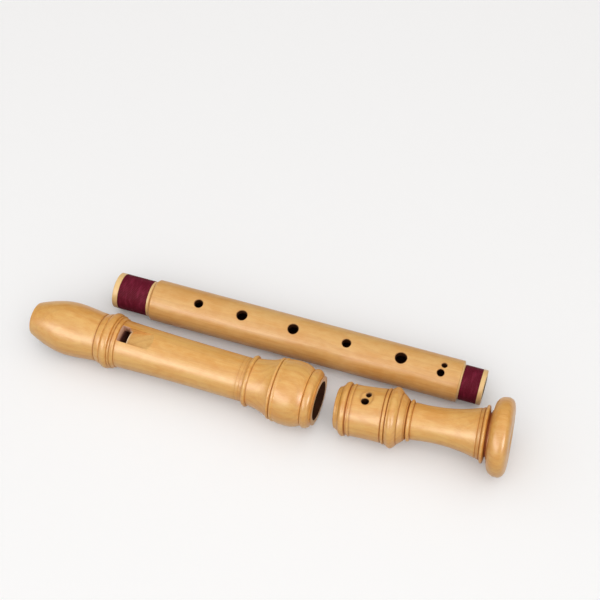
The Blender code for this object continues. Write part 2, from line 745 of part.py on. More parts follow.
def make_foot(frame, finish):
    socket = lower_socket_radius()
    depth = LOWER_TENON_LENGTH + SOCKET_END_PLAY
    outline = bell_outline(foot_outline())
    mouth = FOOT_BORE_END / 2
    inside = [
        (FOOT_LENGTH - FOOT_MOUTH_FLARE, mouth),
        (depth, FOOT_BORE_TOP / 2),
        (depth, socket),
        (SOCKET_MOUTH_CHAMFER, socket),
    ]
    foot = turned_piece("foot_joint", outline + inside, frame, FOOT_ROLL)
    foot.data.materials.append(finish)
    reach = socket + FOOT_BULGE_WALL
    for name, (along, diameter, turn) in FOOT_HOLES.items():
        cutter = hole_cutter(name + "_hole_cutter", along, diameter, turn, reach, frame)
        boolean(foot, cutter, "DIFFERENCE")
    return foot


def resting_pitch(outline, balance, clear_from):
    # a turned piece lies on the two rings whose common line is highest over its balance point
    best = None
    for left_along, left_radius in outline:
        if not clear_from <= left_along < balance:
            continue
        for right_along, right_radius in outline:
            if right_along <= balance:
                continue
            slope = (right_radius - left_radius) / (right_along - left_along)
            height = left_radius + slope * (balance - left_along)
            if best is None or height > best[0]:
                best = (height, slope)
    return math.asin(best[1])


def lay_down(frame, body, length, centre, roll, yaw, clear_from=0.0):
    # turns the section, sets its middle over the given place and its lowest point at z = 0
    facet = body.data.vertices
    outline = {round(v.co.x, 6): math.hypot(v.co.y, v.co.z) for v in facet}
    for v in facet:
        key = round(v.co.x, 6)
        outline[key] = max(outline[key], math.hypot(v.co.y, v.co.z))
    pitch = resting_pitch(list(outline.items()), length / 2, clear_from)
    turn = (
        Matrix.Rotation(math.radians(yaw), 4, "Z")
        @ Matrix.Rotation(-pitch, 4, "Y")
        @ Matrix.Rotation(math.radians(roll), 4, "X")
    )
    middle = turn @ Vector((length / 2, 0, 0))
    lowest = min((turn @ v.co).z for v in facet)
    place = Vector((centre[0] - middle.x, centre[1] - middle.y, -lowest))
    frame.matrix_world = Matrix.Translation(place) @ turn
    print(f"{frame.name}: pitch {math.degrees(pitch):.2f} degrees")


def centre_on_origin(frames, bodies):
    # the ground under the middle of the whole box becomes the origin
    bpy.context.view_layer.update()
    corners = [body.matrix_world @ v.co for body in bodies for v in body.data.vertices]
    middle_x = (min(c.x for c in corners) + max(c.x for c in corners)) / 2
    middle_y = (min(c.y for c in corners) + max(c.y for c in corners)) / 2
    for frame in frames:
        frame.matrix_world = Matrix.Translation((-middle_x, -middle_y, 0)) @ frame.matrix_world
    bpy.context.view_layer.update()


def add_frame(name):
    frame = bpy.data.objects.new(name, None)
    bpy.context.scene.collection.objects.link(frame)
    return frame


def main():
    clear_scene()
    fruitwood = material("oiled_fruitwood", FRUITWOOD, 0.35)
    pale = material("oiled_fruitwood_pale", PALE_FRUITWOOD, 0.35)
    cedar = material("cedar", CEDAR, 0.6)
    thread = material("waxed_thread", BURGUNDY, 0.7)

    head_frame = add_frame("head_frame")
    middle_frame = add_frame("middle_frame")
    foot_frame = add_frame("foot_frame")

    head = make_head(head_frame, fruitwood)
    make_block(head_frame, cedar)
    middle = make_middle(middle_frame, pale)
    upper_bounds, lower_bounds = lapping_bounds()
    make_lapping(
        "upper_thread_lapping", upper_bounds, upper_lapping_radius(),
        middle_frame, thread,
    )
    make_lapping(
        "lower_thread_lapping", lower_bounds, lower_lapping_radius(),
        middle_frame, thread,
    )
    foot = make_foot(foot_frame, fruitwood)

    middle_length = UPPER_TENON_LENGTH + TUBE_LENGTH + LOWER_TENON_LENGTH
    barrel = upper_socket_radius() + BARREL_WALL
    row = barrel + max(TUBE_DIAMETER_TOP, TUBE_DIAMETER_BOTTOM) / 2 + ROW_CLEARANCE
    foot_at = HEAD_LENGTH + FRONT_GAP + FOOT_LENGTH / 2
    lay_down(head_frame, head, HEAD_LENGTH, (HEAD_LENGTH / 2, 0), HEAD_ROLL, HEAD_YAW, BEAK_CUT_LENGTH)
    lay_down(
        middle_frame, middle, middle_length, (MIDDLE_SETBACK + middle_length / 2, row),
        MIDDLE_ROLL, MIDDLE_YAW,
    )
    lay_down(foot_frame, foot, FOOT_LENGTH, (foot_at, FOOT_ROW_SHIFT), FOOT_ROLL, FOOT_YAW)
    centre_on_origin((head_frame, middle_frame, foot_frame), (head, middle, foot))


main()
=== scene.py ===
# Looks of an alto recorder that lies taken apart: head joint, middle joint and foot joint.
# Each section is turned along its own axis in millimetres: x runs from the mouth end to the foot
# end, z points out of the window and the finger holes. Then it is laid where the frame has it.

import math
import random

import bmesh
import bpy
import numpy as np
from mathutils import Matrix, Vector


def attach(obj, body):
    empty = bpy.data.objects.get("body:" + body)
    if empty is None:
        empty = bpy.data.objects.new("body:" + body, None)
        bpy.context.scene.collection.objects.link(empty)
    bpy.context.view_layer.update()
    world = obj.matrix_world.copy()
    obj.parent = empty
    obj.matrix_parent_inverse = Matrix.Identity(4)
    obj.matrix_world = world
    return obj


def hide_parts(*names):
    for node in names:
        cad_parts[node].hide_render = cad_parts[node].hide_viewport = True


mm = 0.001
around = 176  # facets round a turned section
past = 2.0  # millimetres by which a cutter goes past what it cuts
clear = 20.0  # this far from the axis is outside the wood round the window
near = 0.05  # a point this close to a cut counts as lying on it

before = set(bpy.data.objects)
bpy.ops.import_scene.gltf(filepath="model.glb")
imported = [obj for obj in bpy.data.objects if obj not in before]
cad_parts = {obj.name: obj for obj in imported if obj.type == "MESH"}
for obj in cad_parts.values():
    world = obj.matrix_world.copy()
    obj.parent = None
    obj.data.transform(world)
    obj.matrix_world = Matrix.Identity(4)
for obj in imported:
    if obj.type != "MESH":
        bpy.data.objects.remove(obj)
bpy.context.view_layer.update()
print("frame loaded:", ", ".join(sorted(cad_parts)))


# Shader sockets that can be used in sums

class Socket:
    def __init__(self, recipe, link):
        self.recipe = recipe
        self.link = link

    def calc(self, operation, *others):
        return self.recipe.node("Math", {"operation": operation}, (self, *others))

    def __add__(self, other):
        return self.calc("ADD", other)

    def __radd__(self, other):
        return self.calc("ADD", other)

    def __sub__(self, other):
        return self.calc("SUBTRACT", other)

    def __rsub__(self, other):
        return self.recipe.node("Math", {"operation": "SUBTRACT"}, (other, self))

    def __mul__(self, other):
        return self.calc("MULTIPLY", other)

    def __rmul__(self, other):
        return self.calc("MULTIPLY", other)

    def __truediv__(self, other):
        return self.calc("DIVIDE", other)

    def __pow__(self, other):
        return self.calc("POWER", other)


class Recipe:
    # one material or world, and the one way in which nodes are added to it

    def __init__(self, owner, shader="Principled BSDF", **fixed):
        owner.use_nodes = True
        self.owner = owner
        self.tree = owner.node_tree
        self.surface = self.tree.nodes[shader]
        for socket, value in fixed.items():
            self.surface.inputs[socket.replace("_", " ")].default_value = value

    def node(self, kind, settings=None, sockets=(), out=0):
        made = self.tree.nodes.new("ShaderNode" + kind)
        for key, value in (settings or {}).items():
            setattr(made, key, value)
        named = sockets.items() if isinstance(sockets, dict) else enumerate(sockets)
        for key, value in named:
            if isinstance(value, Socket):
                self.tree.links.new(value.link, made.inputs[key])
            else:
                made.inputs[key].default_value = value
        return Socket(self, made.outputs[out])

    def feed(self, socket, value):
        self.tree.links.new(value.link, self.surface.inputs[socket])

    def mix(self, share, first, second):
        settings = {"data_type": "RGBA", "blend_type": "MIX", "clamp_factor": True}
        colours = [(*c, 1.0) if isinstance(c, tuple) else c for c in (first, second)]
        return self.node("Mix", settings, {0: share, 6: colours[0], 7: colours[1]}, out=2)

    def noise(self, place, scale, detail, roughness=0.5):
        # scale is per millimetre, along, across and up
        stretched = self.node("VectorMath", {"operation": "MULTIPLY"}, (place, scale))
        sockets = {"Vector": stretched, "Scale": 1.0, "Detail": detail, "Roughness": roughness}
        return self.node("TexNoise", {"noise_dimensions": "3D"}, sockets, out="Fac")

    def step(self, value, low, high):
        # 0 up to low, 1 from high on, smooth between
        settings = {"interpolation_type": "SMOOTHSTEP", "clamp": True}
        return self.node("MapRange", settings, {"Value": value, "From Min": low, "From Max": high})

    def own(self, name, out="Fac"):
        # what the mesh carries at its points
        return self.node("Attribute", {"attribute_name": name}, out=out)

    def bump(self, height, strength, distance):
        # distance in millimetres
        sockets = {"Height": height, "Strength": strength, "Distance": distance * mm}
        self.feed("Normal", self.node("Bump", sockets=sockets))


# Wood

grain = {
    "wander": 9.0,  # millimetres by which the growth rings stray, slowly and in small ripples
    "ripple": 0.8,
    "lateWood": 0.16,  # how much of the deep colour the rings and the flecks show
    "fleck": 0.26,
    "bumpStrength": 0.28,
    "bumpHeight": 0.06,  # millimetres
}

woods = {
    "honey": {
        "light": (0.88, 0.505, 0.140),
        "mid": (0.79, 0.355, 0.062),
        "deep": (0.58, 0.20, 0.030),
        "stainAndShade": (0.34, 0.075, 0.007),
        "pale": (0.86, 0.60, 0.28),
        "pith": (30.0, -48.0),  # where the tree's own middle was, across and up from the bore
        "ringWidth": 2.7,
        "roughness": 0.44,
        "specular": 0.3,
        "coat": 0.5,
        "lightens": "paleness",  # what the mesh carries that brings out the pale colour
    },
    "pale": {
        "light": (0.83, 0.49, 0.165),
        "mid": (0.75, 0.365, 0.088),
        "deep": (0.56, 0.23, 0.045),
        "stainAndShade": (0.36, 0.110, 0.016),
        "pale": (0.97, 0.68, 0.30),
        "pith": (-22.0, -66.0),
        "ringWidth": 2.2,
        "roughness": 0.46,
        "specular": 0.3,
        "coat": 0.35,
        "lightens": "paleness",
    },
    "cut": {
        "light": (0.81, 0.49, 0.160),
        "mid": (0.72, 0.365, 0.088),
        "deep": (0.50, 0.19, 0.034),
        "stainAndShade": (0.30, 0.085, 0.012),
        # on the labium's and the window's edges this pale colour is a painted highlight
        "pale": (0.95, 0.78, 0.52),
        "pith": (30.0, -48.0),
        "ringWidth": 2.7,
        "roughness": 0.55,
        "specular": 0.3,
        "coat": 0.2,
        "lightens": "rim",
    },
    # painted shade: the bore, the head's socket and the holes' walls are near black for the shade
    # inside them, over oil's darkening
    "bore": {
        "light": (0.075, 0.025, 0.010),
        "mid": (0.052, 0.016, 0.006),
        "deep": (0.030, 0.010, 0.004),
        "stainAndShade": (0.03, 0.01, 0.005),
        "pale": (0.62, 0.33, 0.13),
        "pith": (30.0, -48.0),
        "ringWidth": 2.4,
        "roughness": 0.60,
        "specular": 0.08,
        "coat": 0.0,
        "lightens": "rim",
    },
    "raw": {
        "light": (0.80, 0.47, 0.32),
        "mid": (0.70, 0.38, 0.25),
        "deep": (0.45, 0.21, 0.12),
        "stainAndShade": (0.16, 0.05, 0.02),
        # on the window's and the labium's edges this pale colour is a painted highlight
        "pale": (0.96, 0.70, 0.54),
        "pith": (30.0, -48.0),
        "ringWidth": 2.4,
        "roughness": 0.62,
        "specular": 0.2,
        "coat": 0.0,
        "lightens": "rim",
    },
    "cedar": {
        "light": (0.56, 0.27, 0.19),
        "mid": (0.46, 0.20, 0.135),
        "deep": (0.27, 0.10, 0.065),
        "stainAndShade": (0.12, 0.03, 0.02),
        "pale": (0.56, 0.30, 0.20),
        "pith": (12.0, 44.0),
        "ringWidth": 1.3,
        "roughness": 0.70,
        "specular": 0.2,
        "coat": 0.0,
        "lightens": "rim",
    },
}


def makeWood(name, look):
    wood = Recipe(bpy.data.materials.new(name), IOR=1.5, Specular_IOR_Level=look["specular"],
                  Coat_Roughness=0.33, Coat_IOR=1.7)
    place = wood.own("billet", "Vector")
    x, y, z = (wood.node("SeparateXYZ", sockets=(place,), out=i) for i in range(3))
    # growth rings, seen where the turned form cuts through them
    wander = wood.noise(place, (0.010, 0.045, 0.045), 2.0) - 0.5
    ripple = wood.noise(place, (0.05, 0.30, 0.30), 2.0) - 0.5
    across, up = look["pith"]
    radius = ((y - across) ** 2 + (z - up) ** 2) ** 0.5
    radius = radius + grain["wander"] * wander + grain["ripple"] * ripple
    turn = (radius / look["ringWidth"]).calc("FRACT")
    late = wood.step(turn, 0.45, 0.93) * (1 - wood.step(turn, 0.94, 1.0))
    # fibre, flecks and slow changes of tone along the billet
    fibre = wood.noise(place, (0.07, 2.6, 2.6), 4.0, 0.62)
    cloud = wood.noise(place, (0.022, 0.07, 0.07), 3.0, 0.55)
    fleckField = wood.noise(place, (0.75, 5.5, 5.5), 1.0)
    fleck = wood.step(fleckField, 0.64, 0.72)
    mottle = wood.noise(place, (0.16, 0.34, 0.34), 2.0)
    tone = 0.75 * (cloud - 0.5) + 0.55 * (mottle - 0.5) + 0.60 * (fibre - 0.5) + 0.5
    base = wood.mix(wood.step(tone, 0.25, 0.75), look["mid"], look["light"])
    base = wood.mix(grain["lateWood"] * late, base, look["deep"])
    base = wood.mix(grain["fleck"] * fleck, base, look["deep"])
    # the pale colour: a painted highlight on the head's cut edges, the wood's own colour at the
    # holes' rims
    base = wood.mix(wood.own(look["lightens"]), base, look["pale"])
    # the stain colour: real stain in the lines, painted shade in the head's cove, window walls and
    # round the foot's dish, and the block's darker end
    base = wood.mix(wood.own("stainAndShade"), base, look["stainAndShade"])
    wood.feed("Base Color", base)
    rough = look["roughness"] + 0.16 * (fibre - 0.5) + 0.08 * fleck + 0.14 * wood.own("stainAndShade")
    wood.feed("Roughness", rough)
    if look["coat"]:
        wood.feed("Coat Weight", look["coat"] * (1 - wood.own("stainAndShade")))
    relief = 0.5 * fibre - 0.6 * fleck + 0.25 * late
    wood.bump(relief, grain["bumpStrength"], grain["bumpHeight"])
    return wood.owner


honeyWood = makeWood("oiled_fruitwood", woods["honey"])
paleWood = makeWood("oiled_fruitwood_pale", woods["pale"])
boreShadeWood = makeWood("oiled_bore_painted_shade", woods["bore"])
rawWood = makeWood("bare_cut_fruitwood", woods["raw"])
cutWood = makeWood("carved_fruitwood", woods["cut"])
cedarWood = makeWood("cedar_block", woods["cedar"])
print("woods made")


# Half sections, as a turner would cut them

def swell(t, low, high, slopeIn, slopeOut, length):
    # a smooth run from low to high that leaves at one slope and arrives at the other
    leave = t * (1 - t) ** 2 * slopeIn * length
    reach = t * t * (1 - t) * slopeOut * length
    return low + (high - low) * t * t * (3 - 2 * t) + leave - reach


class Turning:
    # points are distance along, radius and how dark the stain and the painted shade are there

    def __init__(self, along, radius):
        self.points = [(along, radius, 0.0)]

    def cut(self, along, radius, stainAndShade=0.0):
        self.points.append((along, radius, stainAndShade))

    def curve(self, along, radius, slopeIn, slopeOut, steps):
        left, low, _ = self.points[-1]
        length = along - left
        for i in range(1, steps + 1):
            t = i / steps
            self.cut(left + length * t, swell(t, low, radius, slopeIn, slopeOut, length))

    def bead(self, width, height, after=None, steps=12, fullness=1.0):
        # a half ellipse, or with more fullness a flatter crown on rounder shoulders
        left, low, _ = self.points[-1]
        after = low if after is None else after
        for i in range(1, steps + 1):
            turn = math.pi * i / steps
            reach = math.copysign(abs(math.cos(turn)) ** (1 / fullness), math.cos(turn))
            share = (1 - reach) / 2
            rise = height * abs(math.sin(turn)) ** (1 / fullness)
            self.cut(left + width * share, low + (after - low) * share + rise)

    def line(self, after=None, width=0.7, depth=0.45, stainAndShade=0.6):
        # a scribed line, stained in its depth and a little at its edges
        left, low, _ = self.points[-1]
        after = low if after is None else after
        self.points[-1] = (left, low, 0.3 * stainAndShade)
        self.cut(left + width / 2, min(low, after) - depth, stainAndShade)
        self.cut(left + width, after, 0.3 * stainAndShade)

    def stainAndShadeHere(self, stainAndShade):
        self.points[-1] = (*self.points[-1][:2], stainAndShade)

    def at(self):
        return self.points[-1][0]


def softened(points, reach):
    # takes the sharpness off every corner of a half section
    done = [points[0]]
    for before, here, after in zip(points, points[1:], points[2:]):
        back = Vector(before[:2]) - Vector(here[:2])
        ahead = Vector(after[:2]) - Vector(here[:2])
        doubled = min(back.length, ahead.length) < 1e-6
        nearlyStraight = back.normalized().dot(ahead.normalized()) < -0.93
        if doubled or nearlyStraight:
            done.append(here)
            continue
        span = min(reach, 0.45 * back.length, 0.45 * ahead.length)
        first = Vector(here[:2]) + back.normalized() * span
        last = Vector(here[:2]) + ahead.normalized() * span
        for t in (0.0, 0.35, 0.65, 1.0):
            spot = first * (1 - t) ** 2 + Vector(here[:2]) * 2 * t * (1 - t) + last * t * t
            done.append((spot.x, spot.y, here[2]))
    return done + [points[-1]]


def divided(points, longest):
    # no stretch between two points stays longer than this
    done = [points[0]]
    for left, right in zip(points, points[1:]):
        length = math.hypot(right[0] - left[0], right[1] - left[1])
        parts = max(1, math.ceil(length / longest))
        for i in range(1, parts + 1):
            t = i / parts
            done.append(tuple(a + (b - a) * t for a, b in zip(left, right)))
    return done


def spun(name, outside, inside, squeeze=None):
    # a closed turned body, with the second wood between its inside points; squeeze changes the
    # radius of its outside points
    loop = outside + inside
    along = np.array([p[0] for p in loop])
    radius = np.array([p[1] for p in loop])
    verts = []
    for k in range(around):
        turn = 2 * math.pi * (k + 0.5) / around
        r = radius.copy()
        if squeeze:
            for i in range(len(outside)):
                r[i] = squeeze(along[i], r[i], turn)
        ring = np.stack([along, r * math.sin(turn), r * math.cos(turn)], 1)
        verts += [tuple(v) for v in ring * mm]
    count = len(loop)
    faces, kinds = [], []
    for k in range(around):
        a, b = k * count, (k + 1) % around * count
        for i in range(count):
            j = (i + 1) % count
            faces.append((a + i, a + j, b + j, b + i))
            kinds.append(1 if len(outside) <= i < count - 1 else 0)
    mesh = bpy.data.meshes.new(name)
    mesh.from_pydata(verts, [], faces)
    mesh.polygons.foreach_set("material_index", kinds)
    return mesh


def outward(mesh):
    bm = bmesh.new()
    bm.from_mesh(mesh)
    bmesh.ops.recalc_face_normals(bm, faces=bm.faces)
    bm.to_mesh(mesh)
    bm.free()


def lofted(name, rings, kind):
    # skins closed sections with the same number of points, in millimetres
    count = len(rings[0])
    verts = [tuple(Vector(p) * mm) for ring in rings for p in ring]
    faces = [tuple(range(count)), tuple(range(len(verts) - count, len(verts)))]
    for k in range(len(rings) - 1):
        for i in range(count):
            j = (i + 1) % count
            faces.append((k * count + i, k * count + j, (k + 1) * count + j, (k + 1) * count + i))
    bm = bmesh.new()
    made = [bm.verts.new(v) for v in verts]
    for face in faces:
        bm.faces.new([made[i] for i in face]).material_index = kind
    bmesh.ops.recalc_face_normals(bm, faces=bm.faces)
    mesh = bpy.data.meshes.new(name)
    bm.to_mesh(mesh)
    bm.free()
    return mesh


def carved(name, mesh, cutters, woodsUsed):
    # cuts the tools' shapes out of the body; each tool keeps its own kind of face
    body = bpy.data.objects.new(name, mesh)
    bpy.context.scene.collection.objects.link(body)
    tools = []
    for wood in woodsUsed:
        mesh.materials.append(wood)
    for cutter in cutters:
        for wood in woodsUsed:
            cutter.materials.append(wood)
        tool = bpy.data.objects.new(cutter.name, cutter)
        bpy.context.scene.collection.objects.link(tool)
        tools.append(tool)
        modifier = body.modifiers.new(cutter.name, "BOOLEAN")
        modifier.operation = "DIFFERENCE"
        modifier.solver = "EXACT"
        modifier.object = tool
    bpy.context.view_layer.update()
    cut = body.evaluated_get(bpy.context.evaluated_depsgraph_get())
    result = bpy.data.meshes.new_from_object(cut)
    body.modifiers.clear()
    body.data = result
    for tool in tools:
        bpy.data.objects.remove(tool)
    result.name = name
    return body


sharpFrom = 48.0  # degrees between two faces from which the edge between them is crisp
stainAndShadeDepth = 0.6  # how far under the outline its stain and painted shade still count


def dressed(body, outside, paleness=None, rim=None, darkened=None):
    # smooth shading with crisp cut edges, and what the wood's shaders read from the mesh; paleness
    # lightens the skin, rim the cuts (a painted highlight on the window's edges, pale hole rims that
    # fade into painted shade), and darkened darkens it beside the outline's own stain and painted
    # shade (painted shade on the window's walls and round the foot's dish, and the block's darker
    # end); each goes by a point's place and how deep it lies under the skin
    bm = bmesh.new()
    bm.from_mesh(body.data)
    bmesh.ops.recalc_face_normals(bm, faces=bm.faces)
    limit = math.radians(sharpFrom)
    for face in bm.faces:
        face.smooth = True
    for edge in bm.edges:
        if len(edge.link_faces) == 2:
            first, second = edge.link_faces
            same = first.material_index == second.material_index
            edge.smooth = same and edge.calc_face_angle(0.0) < limit
    bm.to_mesh(body.data)
    bm.free()
    mesh = body.data
    spots = np.zeros(len(mesh.vertices) * 3)
    mesh.vertices.foreach_get("co", spots)
    spots = spots.reshape(-1, 3) / mm
    x, y, z = spots.T
    radius = np.hypot(y, z)
    xs = np.array([p[0] for p in outside])
    order = np.argsort(xs, kind="stable")
    stainAndShade = np.interp(x, xs[order], np.array([p[2] for p in outside])[order])
    skin = np.interp(x, xs[order], np.array([p[1] for p in outside])[order])
    stainAndShade[radius < skin - stainAndShadeDepth] = 0.0
    bare = np.zeros(len(x))
    fields = {"paleness": (paleness, bare), "rim": (rim, bare), "stainAndShade": (darkened, stainAndShade)}
    for name, (field, least) in fields.items():
        values = np.maximum(field(x, y, z, skin - radius), least) if field else least
        attribute = mesh.attributes.new(name, "FLOAT", "POINT")
        attribute.data.foreach_set("value", values.astype(np.float32))
    return body


def laid(piece, place, body, node):
    # turns a finished section into its place on the ground; its points remember where they
    # were in the billet, in millimetres, so that the grain runs along the section
    mesh = piece.data
    spots = np.zeros(len(mesh.vertices) * 3, np.float32)
    mesh.vertices.foreach_get("co", spots)
    mesh.attributes.new("billet", "FLOAT_VECTOR", "POINT").data.foreach_set("vector", spots / mm)
    turn = (
        Matrix.Rotation(math.radians(place["yaw"]), 4, "Z")
        @ Matrix.Rotation(-math.radians(place["pitch"]), 4, "Y")
        @ Matrix.Rotation(math.radians(place["roll"]), 4, "X")
    )
    mesh.transform(Matrix.Translation(Vector(place["start"]) * mm) @ turn)
    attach(piece, body)
    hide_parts(node)
    return piece


def archSection(along, crown, bow, halfWidth, edge):
    # across an arch that is highest on the centre line, closed by a straight edge above or below
    steps = 24
    ys = [halfWidth * (2 * i / steps - 1) for i in range(steps + 1)]
    top = [(along, y, crown - bow + math.sqrt(bow * bow - y * y)) for y in ys]
    return top + [(along, halfWidth, edge), (along, -halfWidth, edge)]


def softMin(a, b, blend):
    # the smaller of two, rounded over where they are less than blend apart
    h = max(blend - abs(a - b), 0.0) / blend
    return min(a, b) - h * h * blend / 4


# Head joint

head = {
    "start": (-151.96, -14.24, 16.28),  # the mouth end of the axis, as the section lies
    "yaw": -1.5,  # degrees, like pitch and roll
    "pitch": 1.2254,
    "roll": 6.5,
    "length": 188.0,
    "bore": 8.9,  # radius, like the socket
    "socket": 11.6,
    "socketDepth": 26.9,
    "boreRings": (110.0, 72.0),  # where the bore's wall is divided, and where its oiled wood with painted shade ends
    "barrel": 45.0,  # length, with the bead and the flare before it
    "windowAt": 60.0,
    "windwayWidth": 11.0,
    "windwayBow": 10.5,  # radius of the arch across the windway
    "roofIn": 8.9,  # the windway's roof over the axis, at the mouth and at the window
    "roofOut": 9.35,
    "windowBow": 90.0,
    "cutUp": 4.6,  # from the windway's end to the labium's edge
    "lipThickness": 0.45,
    "rampLength": 20.0,
    "rampFlattens": 21.5,  # how much the radius of the ramp's arch grows
    "undercut": 16.0,
    "beakCut": 40.0,  # length of the hollow under the beak
    "beakTipBelow": 2.2,  # how far under the axis it is at the tip
    "beakSoft": 2.2,  # how widely its edges are rounded
    "tubeAtWindow": 14.9,  # radius
    "soft": 0.16,  # how far in from each corner the rounding starts
    "labiumHighlight": (0.95, 1.3),  # painted highlight: how pale, and over what length
    "windowEdgeHighlight": (0.8, 2.0),  # painted highlight: how pale, and down to what depth
    "windowShade": (0.85, 2.5, 2.0),  # how dark, from what depth, and in what more depth
}


def headOutline():
    bore, socket = head["bore"], head["socket"]
    t = Turning(0.0, bore)
    # the beak's tip, its swell and the fall to the first line
    t.cut(0.0, bore + 0.7)
    t.curve(0.6, bore + 1.5, 1.9, 0.44, 5)
    t.curve(25.5, bore + 7.8, 0.44, 0.0, 34)
    t.curve(45.7, bore + 6.2, 0.0, -0.05, 22)
    t.line(stainAndShade=0.8)
    # the collar just before the window
    t.curve(t.at() + 3.6, bore + 7.2, 0.4, 0.1, 8)
    t.line(stainAndShade=0.3)
    t.bead(4.6, 1.4)
    t.line(bore + 7.7, stainAndShade=0.45)
    t.cut(t.at() + 0.8, bore + 7.7)
    t.line(bore + 7.2, stainAndShade=0.45)
    t.curve(head["windowAt"] - 0.7, bore + 6.5, -0.9, -0.05, 6)
    t.line(head["tubeAtWindow"], stainAndShade=0.4)
    # the tube's long taper, with two fine lines at its thin end
    neck = bore + 4.8
    group = head["length"] - head["barrel"]
    taper = (neck - head["tubeAtWindow"]) / (group - t.at())
    t.curve(group - 4.4, neck, 3.0 * taper, 0.0, 40)
    t.line(width=0.5, depth=0.2, stainAndShade=0.35)
    t.cut(t.at() + 1.7, neck)
    t.line(width=0.5, depth=0.2, stainAndShade=0.35)
    t.cut(group, neck, 0.3)
    # a bead and a flare up to the barrel's own beads
    t.bead(3.0, 1.8, socket + 3.0)
    t.stainAndShadeHere(0.5)
    flare = 3.9 / 14.2  # its mean slope
    t.curve(t.at() + 14.2, socket + 6.9, 0.35 * flare, 2.1 * flare, 20)
    t.bead(1.9, 0.7)
    t.line(socket + 7.7)
    t.bead(1.9, 0.35)
    # the barrel's swell, a bead and the thin lip round the socket
    barrel = t.at()
    t.curve(barrel + 5.2, socket + 8.4, 0.25, 0.0, 8)
    t.curve(barrel + 16.3, socket + 5.6, 0.0, -0.75, 16)
    t.cut(t.at() + 0.35, socket + 5.15, 1.0)
    t.bead(5.0, 1.9, socket + 4.2, 14)
    t.curve(head["length"] - 0.7, socket + 2.9, -1.2, 0.0, 4)
    # painted shade in the cove before the lip
    t.stainAndShadeHere(0.6)
    t.cut(head["length"], socket + 3.7)
    return t.points


def beakFloor(x):
    # how far below the axis the hollow under the beak is cut, from the tip back
    tip, end, length = head["beakTipBelow"], head["bore"] + 7.8, head["beakCut"]
    return swell(x / length, tip, end, 0.05, 0.62, length)


def beakSqueeze(x, radius, turn):
    # rounds the outer edges of the hollow before it is cut, and leaves a thin skin for the cut
    down = -math.cos(turn)
    if x > head["beakCut"] or down < 0.02:
        return radius
    flat = (beakFloor(x) + 0.04) / down
    return max(softMin(radius, flat, head["beakSoft"]), min(radius, head["bore"] + 0.5))


def beakCutter(kind):
    below, side = -22.0, 24.0  # clear of the wood
    xs = [-past] + [head["beakCut"] * i / 60 for i in range(61)]
    line = [(x, -beakFloor(max(x, 0.0))) for x in xs]
    rim = line + [(head["beakCut"], below), (-past, below)]
    return lofted("beak_cutter", [[(x, y, z) for x, z in rim] for y in (-side, side)], kind)


def makeHead():
    outline = divided(softened(headOutline(), head["soft"]), 3.0)
    length, socket, bore = head["length"], head["socket"], head["bore"]
    bottom = length - head["socketDepth"]
    inside = [
        (length, socket + 0.5, 0.0),
        (length - 0.5, socket, 0.0),
        (bottom + 0.3, socket, 0.0),
        (bottom, socket - 0.3, 0.0),
        (bottom, bore + 0.3, 0.0),
        (bottom - 0.3, bore, 0.0),
        *((x, bore, 0.0) for x in head["boreRings"]),
    ]
    body = spun("head_joint_fine", outline, inside, beakSqueeze)
    half, bow = head["windwayWidth"] / 2, head["windwayBow"]
    floor = bore * 0.45  # where the cutters end, in the open bore
    start = head["windowAt"]
    lip = start + head["cutUp"]
    roofIn, roof = head["roofIn"], head["roofOut"]
    under = roof - head["lipThickness"]
    sideOfBore = math.sqrt(bore**2 - half**2)
    windway = [
        archSection(-past, roofIn, bow, half, floor),
        archSection(start + past, roof, bow, half, floor),
    ]
    window = [archSection(x, clear, head["windowBow"], half, floor) for x in (start, lip)]
    undercut = [
        archSection(lip - past, under, bow, half, floor),
        archSection(lip, under, bow, half, floor),
        archSection(lip + head["undercut"], sideOfBore, bow, half, floor),
    ]
    steps = 24
    ramp = [archSection(lip - past, roof, bow, half, clear)]
    for i in range(steps + 1):
        t = i / steps
        crown = roof + (head["tubeAtWindow"] - roof) * t
        flatter = bow + head["rampFlattens"] * t
        ramp.append(archSection(lip + head["rampLength"] * t, crown, flatter, half, clear))
    cutters = [
        beakCutter(2),
        lofted("windway_cutter", windway, 3),
        lofted("window_cutter", window, 3),
        lofted("undercut_cutter", undercut, 3),
        lofted("ramp_cutter", ramp, 4),
    ]

    def edges(x, y, z, depth):
        # painted highlight: the labium's thin edge and the upper edges of the window are paler
        pale, reach = head["labiumHighlight"]
        labium = pale * np.clip(1 - (x - lip) / reach, 0, 1) * (x > lip - near) * (depth > 1.0)
        pale, reach = head["windowEdgeHighlight"]
        window = pale * np.clip(1 - depth / reach, 0, 1) * (x > start - near) * (x < lip - near)
        return np.where(z > 0, labium + window, 0.0)

    def shade(x, y, z, depth):
        # the window's side walls are darker towards the bore
        dark, begins, reach = head["windowShade"]
        walls = (x > start + 0.3) * (x < lip - near) * (z > 0)
        return dark * np.clip((depth - begins) / reach, 0, 1) * walls

    kinds = [honeyWood, boreShadeWood, honeyWood, rawWood, cutWood]
    piece = carved("head_joint_fine", body, cutters, kinds)
    # painted highlight on the window's edges, painted shade on its side walls
    dressed(piece, outline, rim=edges, darkened=shade)
    return laid(piece, head, "head", "head_joint")


headPiece = makeHead()
print("head joint made:", len(headPiece.data.polygons), "faces")


# Block

block = {
    "gap": 0.3,  # between the block and the bore
    "heightIn": 2.0,  # the windway's height over the block, at the mouth and at the window
    "heightOut": 1.15,
    "chamfer": 0.8,
    "soft": 0.25,
    "endDarker": 0.85,  # the end that stands in the bore is darker
}


